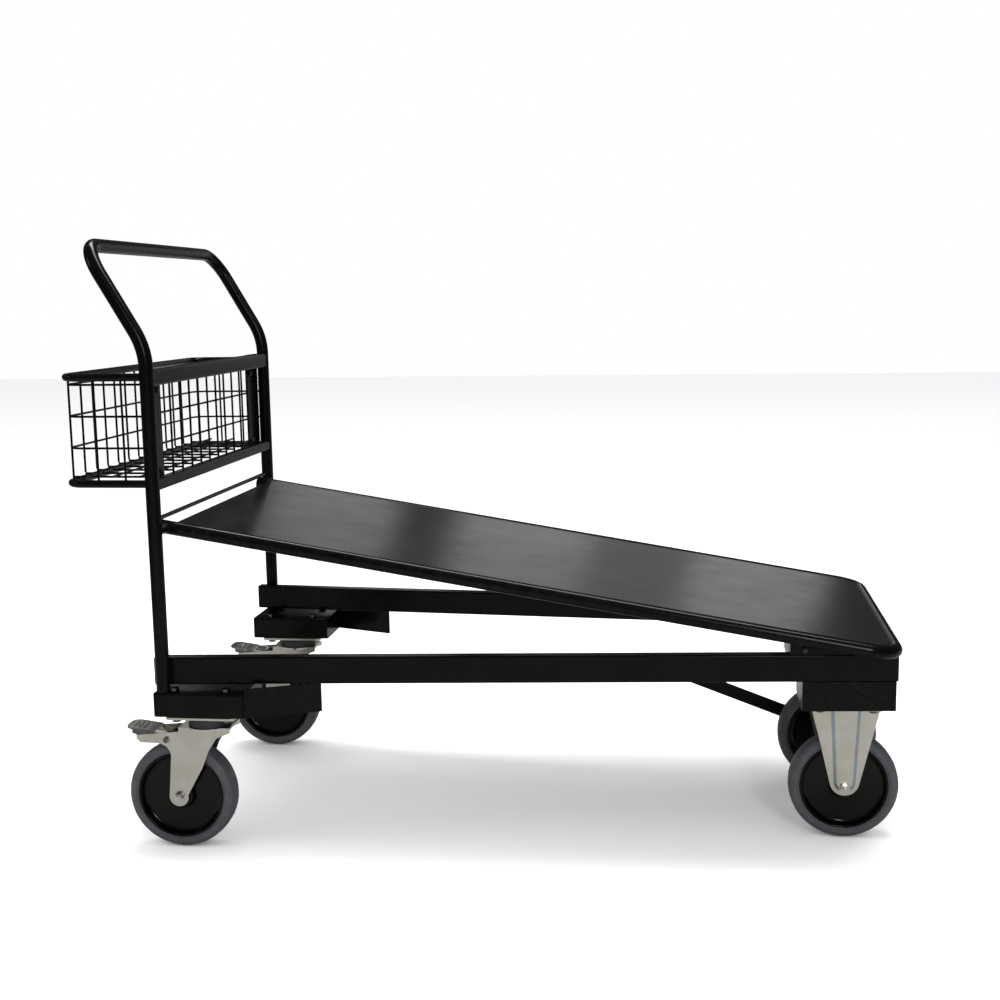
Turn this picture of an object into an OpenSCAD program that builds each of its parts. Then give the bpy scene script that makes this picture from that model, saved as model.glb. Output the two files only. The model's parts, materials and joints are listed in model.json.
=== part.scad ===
// Nesting platform trolley: a flat deck that slopes down to the front, a push
// handle made of one bent tube, a wire basket behind the handle, two fixed
// front casters on a narrow track and two braked swivel casters on a wide one.
//
// +X is the way the trolley is pushed, +Y is its left side, +Z is up and the
// floor is z = 0.  The origin is the middle of the trolley's outline on the floor.

/* [Handle frame] */
// Distance between the centre lines of the two uprights
upright_span = 670; // [600:5:760]
// Outside diameter of the handle, upright and deck tubes
tube_d = 25; // [22:1:30]
// Wall of the round tubes
tube_wall = 2; // [1.5:0.5:3]
// Height at which the uprights start to lean back
lean_z = 882; // [882:2:920]
// How far the uprights' upper ends lean back, in degrees
lean_angle = 30; // [20:1:40]
// Length of the leaning stretch, from its bend to the handle bar's centre line
lean_l = 172; // [140:2:220]
// Bend radius where the uprights lean back
lean_r = 130; // [80:5:160]
// Bend radius at the two ends of the handle bar
handle_r = 58; // [45:1:90]

/* [Chassis] */
// Height of the caster housings above the floor
caster_h = 258; // [245:1:280]
// Height of a rear caster housing
rear_housing_h = 45; // [40:1:60]
// Length of every caster housing
housing_l = 166; // [150:2:200]
// Width of a rear caster housing
rear_housing_w = 112; // [112:2:130]
// Gap between the rear housings and the side beams
housing_gap = 9; // [9:0.5:14]
// Wall of the caster housings
housing_wall = 3; // [2:0.5:4]
// Height of a side beam
beam_h = 50; // [40:1:60]
// Width of a side beam
beam_w = 25; // [20:1:30]
// Wall of a side beam
beam_wall = 2; // [1.5:0.5:3]
// Distance from the uprights to the front end of the side beams
beam_front_x = 1306; // [1240:2:1400]
// How far each side beam runs in from back to front, in degrees
beam_taper = 4.65; // [3.5:0.05:4.9]
// Thickness of the guide plates in front of the rear housings
guide_t = 4; // [3:0.5:6]
// Diameter of the stop rod between the uprights
rod_d = 8; // [6:1:12]
// Height of the stop rod
rod_z = 615; // [612:1:650]

/* [Deck] */
// Width of the deck over its side tubes
deck_w = 610; // [560:5:620]
// Length of the deck along its slope
deck_l = 1307; // [1240:1:1400]
// Height of the deck's top at its rear edge
deck_rear_z = 606; // [596:1:612]
// Slope of the deck in degrees
deck_slope = 9.5; // [8.5:0.1:9.8]
// Bend radius of the deck tube at the front corners
deck_r = 48; // [40:1:80]
// Thickness of the deck sheet
sheet_t = 2; // [1.5:0.5:3]
// How far the sheet lies below the top of the tubes
sheet_drop = 2; // [1:0.5:3]

/* [Basket] */
// Depth from the uprights to the middle of the basket's back rim
basket_depth = 160; // [120:2:220]
// Height of the middle of the basket's top rim
rim_top_z = 867; // [850:1:880]
// Height of the middle of the basket's bottom rim
rim_bottom_z = 679; // [660:1:700]
// Diameter of the rim rods
rim_d = 14; // [10:1:16]
// Bend radius of the rims at the two back corners
rim_r = 30; // [24:1:60]
// Diameter of the mesh wires
wire_d = 4; // [3:0.5:5]
// Spacing of the mesh wires
mesh_pitch = 50; // [40:1:60]
// Width of the flat strips beside the uprights
strip_w = 70; // [60:1:90]

/* [Casters] */
// Wheel diameter
wheel_d = 200; // [180:1:210]
// Width of the tyre
tyre_w = 46; // [40:1:48]
// Thickness of the rubber tyre
tyre_t = 20; // [14:1:26]
// Distance between the rear casters' king pins
rear_track = 584; // [570:2:600]
// Distance between the two front wheels' middle planes
front_track = 300; // [280:2:310]
// Distance from a king pin back to its wheel's axle
trail = 55; // [40:1:60]
// Diameter of the axle sleeves that the wheels turn on
sleeve_d = 12; // [12:1:16]
// Radial clearance of the turning parts on their pins
run_gap = 0.05; // [0.03:0.01:0.1]
// How far the foot lever at the left front wheel slopes up, in degrees
lever_slope = 20.5; // [16:0.5:24]

/* [Hidden] */
$fn = 48;

BLACK = "#1d1d1f";
ZINC = "#c4c3bd";
GREY = "#6f7177";
PLASTIC = "#161617";

// The bends are drawn a little fuller than the tube and the straight stretches
// run a little way into them
bend_full = 0.3;
bend_in = 2;
tube_r = tube_d / 2;
wheel_r = wheel_d / 2;
upright_y = upright_span / 2;

// Rear housings: the uprights stand on their outer edge
rear_top_z = caster_h + rear_housing_h;
king_y = rear_track / 2;
rear_in_y = king_y - rear_housing_w / 2;
king_x = 55.5 + tube_r;
rear_back_x = king_x - housing_l / 2;
rear_front_x = king_x + housing_l / 2;

// Side beams: their outer faces touch the uprights' inner sides at x = 0
beam_z = rear_top_z + housing_gap;
beam_top_z = beam_z + beam_h;
beam_y = upright_y - (tube_r + beam_w / 2) / cos(beam_taper);
beam_back = 19;
beam_l = beam_front_x / cos(beam_taper);
function beam_mid_y(x) = beam_y - x * tan(beam_taper);
function beam_out_y(x) = beam_mid_y(x) + beam_w / 2 / cos(beam_taper);

// Front housings
front_back_x = beam_front_x - housing_l;
front_axle_x = (front_back_x + beam_front_x) / 2;
front_y = front_track / 2;
front_in_y = front_y - 57;

// Deck, in its own sloping frame
deck_back_x = 22;
deck_in = sheet_drop + sheet_t;
deck_tube_y = deck_w / 2 - tube_r;
sheet_edge = sqrt(tube_r * tube_r - pow(tube_r - deck_in, 2));
deck_stub = 30;

// Basket
back_x = -basket_depth - rim_d / 2;
rim_y = upright_y - 5;
mid_x = (front_axle_x + wheel_r + back_x) / 2;
rail_w = 20;
rail_top_h = 30;
rail_bottom_h = 20;
rail_top_z = rim_top_z - 16;
rail_bottom_z = rim_bottom_z - 12;
strip_t = 3;
strip_in_y = upright_y - tube_r - strip_w;
mesh_low_z = rim_bottom_z + rim_d / 2;
mesh_high_z = rim_top_z - rim_d / 2;
wire_r = wire_d / 2;
front_mesh_x = -rail_w / 2 - wire_r;
mesh_n = floor((upright_y - 30) / mesh_pitch);
front_n = floor((strip_in_y - wire_d / 2) / mesh_pitch);
side_wires = [for (x = [-mesh_pitch : -mesh_pitch : 20 - basket_depth]) x];
mesh_levels = [for (i = [1 : 3]) mesh_low_z + i * (mesh_high_z - 6 - mesh_low_z) / 3];

// Casters
plate_l = 130;
plate_w = 110;
plate_t = 5;
hole_x = 95;
hole_y = 80;
bolt_d = 10;
plate_z = caster_h - plate_t;
rim_r_out = wheel_r - tyre_t;
hub_w = 51;
fork_in = 27;
leg_t = 3;
fork_out = fork_in + leg_t;
crown_z = plate_z - 21;
crown_t = 4;
axle_x = king_x - trail;
sleeve_r = sleeve_d / 2;
axle_bolt_d = 10;
pin_d = 12;
bearing_d = sleeve_d + 16;
pedal_x = -73;
pedal_z = crown_z - 24;
pedal_pin_d = 8;
lever_t = 6;
lever_l = 370;

// Moves a piece from the uprights' foot to the trolley's origin
module on_floor() { translate([-mid_x, 0, 0]) children(); }
module both_sides() { children(); mirror([0, 1, 0]) children(); }
module rod_y(d, l) { rotate([-90, 0, 0]) cylinder(h = l, d = d); }
module rod_x(d, l) { rotate([0, 90, 0]) cylinder(h = l, d = d); }
// A bent round bar of bend radius r through the angle a
module bend(r, a, d) { rotate_extrude(angle = a) translate([r, 0]) circle(d = d); }
// A rectangle with round corners, w by h, from the middle
module soft_rect(w, h, r) {
  square([w - 2 * r, h], center = true);
  square([w, h - 2 * r], center = true);
  for (x = [-1, 1], y = [-1, 1]) translate([x * (w / 2 - r), y * (h / 2 - r)]) circle(r = r);
}
module box_section(w, h, r, wall) {
  difference() {
    soft_rect(w, h, r);
    soft_rect(w - 2 * wall, h - 2 * wall, r - wall + 0.5);
  }
}
module uprights_solid() {
  both_sides() translate([0, upright_y, rear_top_z]) cylinder(h = 700, d = tube_d);
}
module hex(d, h) { cylinder(h = h, d = d, $fn = 6); }

// ---------------------------------------------------------------- handle
// Half of the bent tube as a solid rod of diameter d, its foot at low_z
module half_handle(d, low_z) {
  straight = lean_l - handle_r;
  translate([0, upright_y, low_z]) cylinder(h = lean_z - low_z + bend_in, d = d);
  translate([-lean_r, 0, lean_z]) {
    translate([0, upright_y, 0]) rotate([90, 0, 0]) bend(lean_r, lean_angle, d + bend_full);
    rotate([0, -lean_angle, 0]) translate([lean_r, 0, 0]) {
      translate([0, upright_y, -bend_in]) cylinder(h = straight + 2 * bend_in, d = d);
      translate([0, upright_y - handle_r, straight]) rotate([90, 0, 90])
        bend(handle_r, 90, d + bend_full);
      translate([0, 0, lean_l]) rod_y(d, upright_y - handle_r + bend_in);
    }
  }
}
module handle_frame() {
  color(BLACK) on_floor() difference() {
    both_sides() half_handle(tube_d, rear_top_z);
    both_sides() half_handle(tube_d - 2 * tube_wall, rear_top_z - 1);
  }
}
module stop_rod() {
  color(BLACK) on_floor() difference() {
    translate([0, -upright_y, rod_z]) rod_y(rod_d, upright_span);
    uprights_solid();
  }
}

// ---------------------------------------------------------------- chassis
module along_beam() { translate([0, beam_y, beam_z]) rotate([0, 0, -beam_taper]) children(); }
module side_beam() {
  along_beam() translate([-beam_back, 0, beam_h / 2]) rotate([90, 0, 90])
    linear_extrude(beam_l + beam_back) box_section(beam_w, beam_h, 3, beam_wall);
}
module side_beam_left() { color(BLACK) on_floor() side_beam(); }
module side_beam_right() { color(BLACK) on_floor() mirror([0, 1, 0]) side_beam(); }
// A plug with a thin head and a hollow neck that fits the tube's inside
module plug() {
  head_t = 2;
  neck_l = 10;
  translate([0, 0, -head_t]) linear_extrude(head_t) soft_rect(beam_w, beam_h, 3);
  linear_extrude(neck_l) box_section(beam_w - 2 * beam_wall, beam_h - 2 * beam_wall, 1.5, 1.5);
}
module beam_cap() {
  along_beam() translate([-beam_back, 0, beam_h / 2]) rotate([90, 0, 90]) plug();
  along_beam() translate([beam_l, 0, beam_h / 2]) rotate([90, 0, -90]) plug();
}
module beam_end_caps() { color(PLASTIC) on_floor() both_sides() beam_cap(); }

// Four places of the caster bolts around a caster's middle
module at_bolts(x, y) {
  for (i = [-1, 1], j = [-1, 1]) translate([x + i * hole_x / 2, y + j * hole_y / 2, 0]) children();
}
end_t = 3;
module rear_housing() {
  difference() {
    translate([rear_back_x + end_t, king_y, caster_h + rear_housing_h / 2]) rotate([90, 0, 90])
      linear_extrude(housing_l - 2 * end_t)
        box_section(rear_housing_w, rear_housing_h, 4, housing_wall);
    at_bolts(king_x, king_y) translate([0, 0, caster_h - 1])
      cylinder(h = rear_housing_h + 2, d = bolt_d);
  }
}
module rear_housing_left() { color(BLACK) on_floor() rear_housing(); }
module rear_housing_right() { color(BLACK) on_floor() mirror([0, 1, 0]) rear_housing(); }

// The front housings are trays that narrow to the front with the side beams
module tray_outline(back, front, inset) {
  polygon([[back, front_in_y + inset], [front, front_in_y + inset],
           [front, beam_out_y(front) - inset], [back, beam_out_y(back) - inset]]);
}
front_housing_h = beam_z - caster_h;
module front_housing() {
  difference() {
    translate([0, 0, caster_h]) linear_extrude(front_housing_h)
      tray_outline(front_back_x, beam_front_x, 0);
    translate([0, 0, caster_h + housing_wall]) linear_extrude(front_housing_h)
      tray_outline(front_back_x + housing_wall, beam_front_x - housing_wall, housing_wall);
    at_bolts(front_axle_x, front_y) translate([0, 0, caster_h - 1]) cylinder(h = 20, d = bolt_d);
  }
}
module front_housing_left() { color(BLACK) on_floor() front_housing(); }
module front_housing_right() { color(BLACK) on_floor() mirror([0, 1, 0]) front_housing(); }

module end_plate(x) {
  translate([x, king_y, caster_h + rear_housing_h / 2]) rotate([90, 0, 90])
    linear_extrude(end_t) soft_rect(rear_housing_w, rear_housing_h, 4);
}
module housing_end_plates() {
  color(BLACK) on_floor() both_sides() {
    end_plate(rear_back_x);
    end_plate(rear_front_x - end_t);
  }
}

// Sloping plates that lead the next trolley's narrow front in between
guide_l = 128;
guide_rise = 1;
module guide_plate() {
  far_x = rear_front_x + guide_l;
  out_y = king_y + rear_housing_w / 2 - 3;
  in_y = beam_mid_y(far_x) + beam_w / 4;
  intersection() {
    linear_extrude(500) polygon([[rear_front_x, out_y], [rear_front_x, out_y - guide_t * 1.1],
      [far_x, in_y - guide_t * 1.1], [far_x, in_y]]);
    translate([0, 500, 0]) rotate([90, 0, 0]) linear_extrude(500) polygon([
      [rear_front_x, caster_h], [far_x, caster_h + guide_rise], [far_x, beam_z], [rear_front_x, beam_z]]);
  }
}
module guide_plate_left() { color(BLACK) on_floor() guide_plate(); }
module guide_plate_right() { color(BLACK) on_floor() mirror([0, 1, 0]) guide_plate(); }

module front_cross_member() {
  wide = 40;
  color(BLACK) on_floor()
    translate([beam_front_x - wide, -front_in_y, beam_z - front_housing_h / 2])
      rotate([-90, 0, 0]) translate([wide / 2, 0, 0])
        linear_extrude(2 * front_in_y) box_section(wide, front_housing_h - 8, 3, 2);
}

// ---------------------------------------------------------------- deck
module in_deck() { translate([deck_back_x, 0, deck_rear_z]) rotate([0, deck_slope, 0]) children(); }
module half_deck_tube(d, stub) {
  translate([-stub, deck_tube_y, 0]) rod_x(d, deck_l + stub - tube_r - deck_r);
  translate([deck_l - tube_r - deck_r, deck_tube_y - deck_r, 0]) bend(deck_r, 90, d);
  translate([deck_l - tube_r, 0, 0]) rod_y(d, deck_tube_y - deck_r);
}
module deck_tube() {
  color(BLACK) on_floor() in_deck() translate([0, 0, -tube_r]) difference() {
    both_sides() half_deck_tube(tube_d, deck_stub);
    both_sides() half_deck_tube(tube_d - 2 * tube_wall, deck_stub + 1);
  }
}
// Short stubs that weld the deck's side tubes to the uprights
module deck_lugs() {
  stub_d = tube_d - 3;
  along = -18;
  x = deck_back_x + along * cos(deck_slope) - tube_r * sin(deck_slope);
  z = deck_rear_z - along * sin(deck_slope) - tube_r * cos(deck_slope);
  color(BLACK) on_floor() both_sides() difference() {
    translate([x, deck_tube_y, z]) rod_y(stub_d, upright_y - deck_tube_y);
    uprights_solid();
    in_deck() translate([-200, deck_tube_y, -tube_r]) rod_x(tube_d, 400);
  }
}
module deck_panel() {
  edge = deck_tube_y - sheet_edge;
  front = deck_l - tube_r - sheet_edge;
  r = deck_r - sheet_edge;
  color(BLACK) on_floor() in_deck() translate([0, 0, -deck_in]) linear_extrude(sheet_t) {
    translate([0, -edge]) square([front - r, 2 * edge]);
    translate([0, r - edge]) square([front, 2 * (edge - r)]);
    for (s = [-1, 1]) translate([front - r, s * (edge - r)]) circle(r = r);
  }
}
rib_w = 30;
rib_h = tube_d - deck_in - 3;
module deck_ribs() {
  color(BLACK) on_floor() in_deck()
    for (i = [0 : 3]) {
      x = 40 + i * (deck_l - 140) / 3;
      translate([x, tube_r - deck_tube_y, -deck_in - rib_h / 2]) rotate([-90, 0, 0])
        linear_extrude(2 * (deck_tube_y - tube_r)) box_section(rib_w, rib_h, 3, 2);
    }
}
// Folded wedges that carry the deck's front on the side beams
module deck_support() {
  back = front_back_x - 20;
  front = beam_front_x - 30;
  difference() {
    along_beam() translate([back, -beam_w / 2, beam_h]) cube([front - back, beam_w, 120]);
    along_beam() translate([back + 3, -beam_w / 2 + 3, beam_h - 1]) cube([front - back, beam_w - 6, 200]);
    in_deck() translate([-50, -500, -deck_in]) cube([2000, 1000, 300]);
    in_deck() translate([-50, deck_tube_y - tube_r, -tube_d]) cube([2000, 500, 300]);
    in_deck() translate([deck_l - tube_r - deck_r, deck_tube_y - tube_r - deck_r, -tube_d])
      cube([500, 500, 300]);
    in_deck() translate([deck_l - 100 - rib_w / 2, -500, -deck_in - rib_h]) cube([rib_w, 1000, 30]);
    translate([back - 12, 0, beam_top_z + 4]) rotate([0, 12, 0]) translate([-40, 0, 0])
      cube([40, 400, 200]);
  }
}
module deck_supports() { color(BLACK) on_floor() both_sides() deck_support(); }

// ---------------------------------------------------------------- basket
// Half of a U-shaped rod that runs from an upright around to the back
module half_rim(d, y, x, r) {
  translate([r - x, y, 0]) rod_x(d, x - r - rail_w / 2);
  translate([r - x, y - r, 0]) rotate([0, 0, 90]) rotate_extrude(angle = 90) translate([r, 0]) circle(d = d);
  translate([-x, 0, 0]) rod_y(d, y - r);
}
module rim(z) {
  color(BLACK) on_floor() difference() {
    translate([0, 0, z]) both_sides() half_rim(rim_d, rim_y, basket_depth, rim_r);
    uprights_solid();
  }
}
module basket_rim_top() { rim(rim_top_z); }
module basket_rim_bottom() { rim(rim_bottom_z); }
module rail(z, h) {
  color(BLACK) on_floor() difference() {
    translate([0, -upright_y, z + h / 2]) rotate([-90, 0, 0])
      linear_extrude(upright_span) box_section(rail_w, h, 4, 2);
    uprights_solid();
  }
}
module basket_rail_top() { rail(rail_top_z, rail_top_h); }
module basket_rail_bottom() { rail(rail_bottom_z, rail_bottom_h); }
module basket_strips() {
  color(BLACK) on_floor() both_sides()
    translate([-rail_w / 2 - strip_t, strip_in_y, rail_bottom_z])
      cube([strip_t, strip_w, rail_top_z + rail_top_h - rail_bottom_z]);
}
module upright_wire(x, y, low, high) { translate([x, y, low]) cylinder(h = high - low, d = wire_d, $fn = 24); }
module basket_mesh_front() {
  reach = strip_in_y + 3.5;
  color(BLACK) on_floor() {
    for (i = [-front_n : front_n])
      upright_wire(front_mesh_x, i * mesh_pitch, rail_bottom_z + 4, rail_top_z + rail_top_h - 4);
    for (i = [0, 1]) translate([front_mesh_x - wire_d + 0.4, -reach, mesh_levels[i]])
      rod_y(wire_d, 2 * reach, $fn = 24);
  }
}
in_step = wire_d - 0.4;
module basket_mesh_back() {
  color(BLACK) on_floor() {
    for (i = [-mesh_n : mesh_n])
      upright_wire(-basket_depth, i * mesh_pitch, mesh_low_z + wire_d, mesh_high_z);
    for (z = mesh_levels) translate([in_step - basket_depth, rim_r - rim_y, z])
      rod_y(wire_d, 2 * (rim_y - rim_r), $fn = 24);
  }
}
module mesh_side() {
  difference() {
    for (z = mesh_levels) translate([rim_r - basket_depth, rim_y - in_step, z])
      rod_x(wire_d, basket_depth - rim_r - rail_w / 2, $fn = 24);
    uprights_solid();
  }
  for (x = side_wires)
    if (x > rim_r - basket_depth)
      upright_wire(x, rim_y, mesh_low_z, mesh_high_z);
}
module basket_mesh_sides() { color(BLACK) on_floor() both_sides() mesh_side(); }
module basket_mesh_floor() {
  color(BLACK) on_floor() {
    for (i = [-mesh_n : mesh_n])
      translate([-basket_depth, i * mesh_pitch, mesh_low_z + wire_r])
        rod_x(wire_d, basket_depth - rail_w / 2 - wire_d, $fn = 24);
    for (x = [-mesh_pitch / 2 : -mesh_pitch : 20 - basket_depth])
      translate([x, -rim_y, mesh_low_z + wire_r + in_step]) rod_y(wire_d, 2 * rim_y, $fn = 24);
  }
}
// The mesh wires around the two back corners
module basket_corner_wires() {
  r = rim_r - in_step;
  color(BLACK) on_floor() both_sides() {
    for (z = mesh_levels) translate([rim_r - basket_depth, rim_y - rim_r, z])
      rotate([0, 0, 90]) rotate_extrude(angle = 90, $fn = 24) translate([r, 0]) circle(d = wire_d);
    translate([rim_r - basket_depth, rim_y - rim_r, 0])
      upright_wire(-rim_r * cos(50), rim_r * sin(50), mesh_low_z, mesh_high_z);
  }
}
module button_screw(d) {
  cylinder(h = 3, d = d);
  translate([0, 0, 3]) cylinder(h = 1.5, d1 = d, d2 = d - 4, $fn = 32);
}
// Screws that hold the strips, and those through the deck's supports
module screws() {
  color(ZINC) on_floor() both_sides() {
    for (z = [rail_bottom_z + rail_bottom_h + 8, rail_top_z - 10])
      translate([-rail_w / 2, strip_in_y + 14, z]) rotate([0, 90, 0]) button_screw(11);
    for (s = [26, 120]) along_beam()
      translate([front_back_x - 20 + s, beam_w / 2, beam_h + 9]) rotate([-90, 0, 0]) button_screw(11);
  }
}

// ---------------------------------------------------------------- casters
module caster_bolt(z_top) {
  head_h = 6;
  translate([0, 0, plate_z - head_h]) hex(16, head_h);
  translate([0, 0, plate_z]) cylinder(h = z_top - plate_z, d = bolt_d);
}
nut_h = 7;
tray_nut_z = caster_h + housing_wall;
module caster_bolts() {
  color(ZINC) on_floor() both_sides() {
    at_bolts(king_x, king_y) caster_bolt(rear_top_z + nut_h);
    at_bolts(front_axle_x, front_y) caster_bolt(tray_nut_z + nut_h + 2);
  }
}
module nut(z) { translate([0, 0, z]) difference() { hex(16, nut_h); translate([0, 0, -1]) cylinder(h = 20, d = bolt_d); } }
module caster_nuts() {
  color(ZINC) on_floor() both_sides() {
    at_bolts(king_x, king_y) nut(rear_top_z);
    at_bolts(front_axle_x, front_y) nut(tray_nut_z);
  }
}
// A plate with round corners and four bolt holes, its top at the housing
module mount_plate(x, y) {
  difference() {
    translate([x, y, plate_z]) linear_extrude(plate_t) soft_rect(plate_l, plate_w, 10);
    at_bolts(x, y) translate([0, 0, plate_z - 1]) cylinder(h = 20, d = bolt_d);
  }
}
// Fixed fork: a top plate and two legs that narrow down to the axle
fixed_r = 27;
fixed_top = 62;
module fixed_leg_outline(r, top) {
  translate([0, wheel_r + 12]) circle(r = r);
  polygon([[-top, plate_z], [top, plate_z], [r * cos(12), wheel_r + 12 - r * sin(12)],
           [-r * cos(12), wheel_r + 12 - r * sin(12)]]);
}
module front_fork() {
  emboss = 2.5;
  mount_plate(front_axle_x, front_y);
  difference() {
    for (s = [-1, 1]) translate([front_axle_x, front_y + s * (fork_in + leg_t / 2) + leg_t / 2, 0])
      rotate([90, 0, 0]) linear_extrude(leg_t) fixed_leg_outline(fixed_r, fixed_top);
    translate([front_axle_x, 0, wheel_r]) rod_y(axle_bolt_d, 400);
  }
  difference() {
    for (s = [-1, 1]) translate([front_axle_x, front_y + s * (fork_out + emboss / 2) + emboss / 2, 0])
      rotate([90, 0, 0]) linear_extrude(emboss) fixed_leg_outline(fixed_r - 13, fixed_top / 3);
    translate([front_axle_x, 0, wheel_r]) rod_y(axle_bolt_d, 400);
  }
}
module front_fork_left() { color(ZINC) on_floor() front_fork(); }
module front_fork_right() { color(ZINC) on_floor() mirror([0, 1, 0]) front_fork(); }

// An axle along Y: a bolt, its head and nut, and the sleeve between the legs.
// out_in and out_far are the faces on the inner and outer side that it clamps.
module axle(out_in, out_far) {
  hub_end = 0.4;
  translate([0, -out_in, 0]) rod_y(axle_bolt_d, out_in + out_far);
  translate([0, -out_in, 0]) rotate([90, 0, 0]) hex(17, 6);
  translate([0, out_far, 0]) rotate([-90, 0, 0]) {
    cylinder(h = 1.5, d = 20);
    translate([0, 0, 1.5]) hex(17, 8);
    translate([0, 0, 9.5]) cylinder(h = 3, d = axle_bolt_d);
  }
  difference() {
    translate([0, -fork_in, 0]) rod_y(sleeve_d, 2 * fork_in);
    translate([0, -fork_in - 1, 0]) rod_y(axle_bolt_d, 2 * fork_in + 2);
  }
}
module front_axles() {
  emboss = 2.5;
  color(ZINC) on_floor() {
    translate([front_axle_x, front_y, wheel_r]) axle(fork_out + emboss, fork_out + emboss + lever_t + 1);
    mirror([0, 1, 0]) translate([front_axle_x, front_y, wheel_r])
      axle(fork_out + emboss, fork_out + emboss);
  }
}

// Turned shapes around a wheel's axle
module turned() { rotate([90, 0, 0]) rotate_extrude() children(); }
rim_half = 20;
web_half = 12;
module rim_profile() {
  hub_r = 22;
  lip = 6;
  polygon([[bearing_d / 2, -hub_w / 2 + 1], [hub_r, -hub_w / 2 + 1], [hub_r + 4, -web_half],
    [rim_r_out - lip - 2, -web_half], [rim_r_out - lip, -rim_half], [rim_r_out, -rim_half],
    [rim_r_out, rim_half], [rim_r_out - lip, rim_half], [rim_r_out - lip - 2, web_half],
    [hub_r + 4, web_half], [hub_r, hub_w / 2 - 1], [bearing_d / 2, hub_w / 2 - 1]]);
}
module wheel_rim() { turned() rim_profile(); }
module bearings() {
  bearing_w = 11;
  turned() for (s = [-1, 1]) translate([sleeve_r + run_gap, s * (hub_w - bearing_w) / 2 - bearing_w / 2])
    square([bearing_d / 2 - sleeve_r - run_gap, bearing_w]);
}
module tyre() {
  shoulder = 9;
  turned() {
    translate([rim_r_out, -tyre_w / 2 + 2]) square([4, tyre_w - 4]);
    translate([rim_r_out + 4, -tyre_w / 2]) square([wheel_r - shoulder - rim_r_out - 4, tyre_w]);
    translate([wheel_r - shoulder, shoulder - tyre_w / 2]) square([shoulder, tyre_w - 2 * shoulder]);
    for (s = [-1, 1]) translate([wheel_r - shoulder, s * (tyre_w / 2 - shoulder)]) intersection() {
      circle(r = shoulder);
      translate([0, -shoulder]) square(2 * shoulder);
    }
  }
}
module at_front(s) { on_floor() translate([front_axle_x, s * front_y, wheel_r]) children(); }
module at_rear(s) { on_floor() translate([axle_x, s * king_y, wheel_r]) children(); }
module front_rim_left() { color(PLASTIC) at_front(1) wheel_rim(); }
module front_rim_right() { color(PLASTIC) at_front(-1) wheel_rim(); }
module front_tyre_left() { color(GREY) at_front(1) tyre(); }
module front_tyre_right() { color(GREY) at_front(-1) tyre(); }
module rear_rim_left() { color(PLASTIC) at_rear(1) wheel_rim(); }
module rear_rim_right() { color(PLASTIC) at_rear(-1) wheel_rim(); }
module rear_tyre_left() { color(GREY) at_rear(1) tyre(); }
module rear_tyre_right() { color(GREY) at_rear(-1) tyre(); }
module front_bearings_left() { color(ZINC) at_front(1) bearings(); }
module front_bearings_right() { color(ZINC) at_front(-1) bearings(); }
module rear_bearings_left() { color(ZINC) at_rear(1) bearings(); }
module rear_bearings_right() { color(ZINC) at_rear(-1) bearings(); }

// Swivel caster: the plate and king pin stay, the fork turns below them
race_h = 6;
seal_gap = 0.5;
module rear_plate() {
  difference() {
    union() {
      mount_plate(king_x, king_y);
      translate([king_x, king_y, plate_z - race_h]) cylinder(h = race_h, d = 60);
    }
    translate([king_x, king_y, 0]) cylinder(h = 400, d = pin_d);
  }
}
module rear_plate_left() { color(ZINC) on_floor() rear_plate(); }
module rear_plate_right() { color(ZINC) on_floor() mirror([0, 1, 0]) rear_plate(); }
module king_pins() {
  foot_z = crown_z - crown_t - seal_gap - 12.5;
  color(ZINC) on_floor() both_sides() translate([king_x, king_y, 0]) {
    translate([0, 0, foot_z]) cylinder(h = caster_h - foot_z, d = pin_d);
    translate([0, 0, foot_z + 1]) hex(19, 9);
    translate([0, 0, foot_z + 10]) cylinder(h = 2.5, d = 26);
  }
}
module seal() {
  h = plate_z - race_h - seal_gap - crown_z;
  translate([king_x, king_y, crown_z]) difference() {
    cylinder(h = h, d = 76);
    translate([0, 0, -1]) cylinder(h = h + 2, d = pin_d + 6);
  }
}
module seal_left() { color(PLASTIC) on_floor() seal(); }
module seal_right() { color(PLASTIC) on_floor() mirror([0, 1, 0]) seal(); }
// Outline of a swivel fork's leg, seen from the side, with its axle at x = axle_x
module swivel_leg_outline() {
  r = 18;
  wing_x = king_x - 130;
  wing_z = pedal_z - 7;
  translate([axle_x, wheel_r]) circle(r = r);
  polygon([[axle_x - r, wheel_r], [axle_x - 11, wing_z - 23], [axle_x - 13, wing_z - 15],
    [axle_x - 19, wing_z - 6], [axle_x - 31, wing_z], [wing_x + 7, wing_z + 1], [wing_x, wing_z + 8],
    [wing_x, wing_z + 15], [king_x - 50, crown_z - 9], [king_x - 50, crown_z],
    [king_x + 46, crown_z], [king_x + 46, crown_z - 9], [king_x + 20, crown_z - 20],
    [king_x + 5, crown_z - 44], [king_x - 8, crown_z - 76], [axle_x + r, wheel_r + 4]]);
}
module rear_fork() {
  difference() {
    union() {
      for (s = [-1, 1]) translate([0, king_y + s * (fork_in + leg_t / 2) + leg_t / 2, 0])
        rotate([90, 0, 0]) linear_extrude(leg_t) swivel_leg_outline();
      translate([king_x - 50, king_y - fork_in - 1, crown_z - crown_t])
        cube([96, 2 * fork_in + 2, crown_t]);
      translate([king_x, king_y, crown_z - crown_t]) cylinder(h = crown_t, d = 84);
    }
    translate([king_x, king_y, crown_z - 20]) cylinder(h = 40, r = pin_d / 2 + run_gap);
    translate([axle_x, 0, wheel_r]) rod_y(axle_bolt_d, 500);
    translate([pedal_x + king_x, 0, pedal_z]) rotate([-90, 0, 0])
      cylinder(h = 500, r = pedal_pin_d / 2 + run_gap);
  }
}
module rear_fork_left() { color(ZINC) on_floor() rear_fork(); }
module rear_fork_right() { color(ZINC) on_floor() mirror([0, 1, 0]) rear_fork(); }
module rear_axle_left() { color(ZINC) at_rear(1) axle(fork_out, fork_out); }
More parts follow.
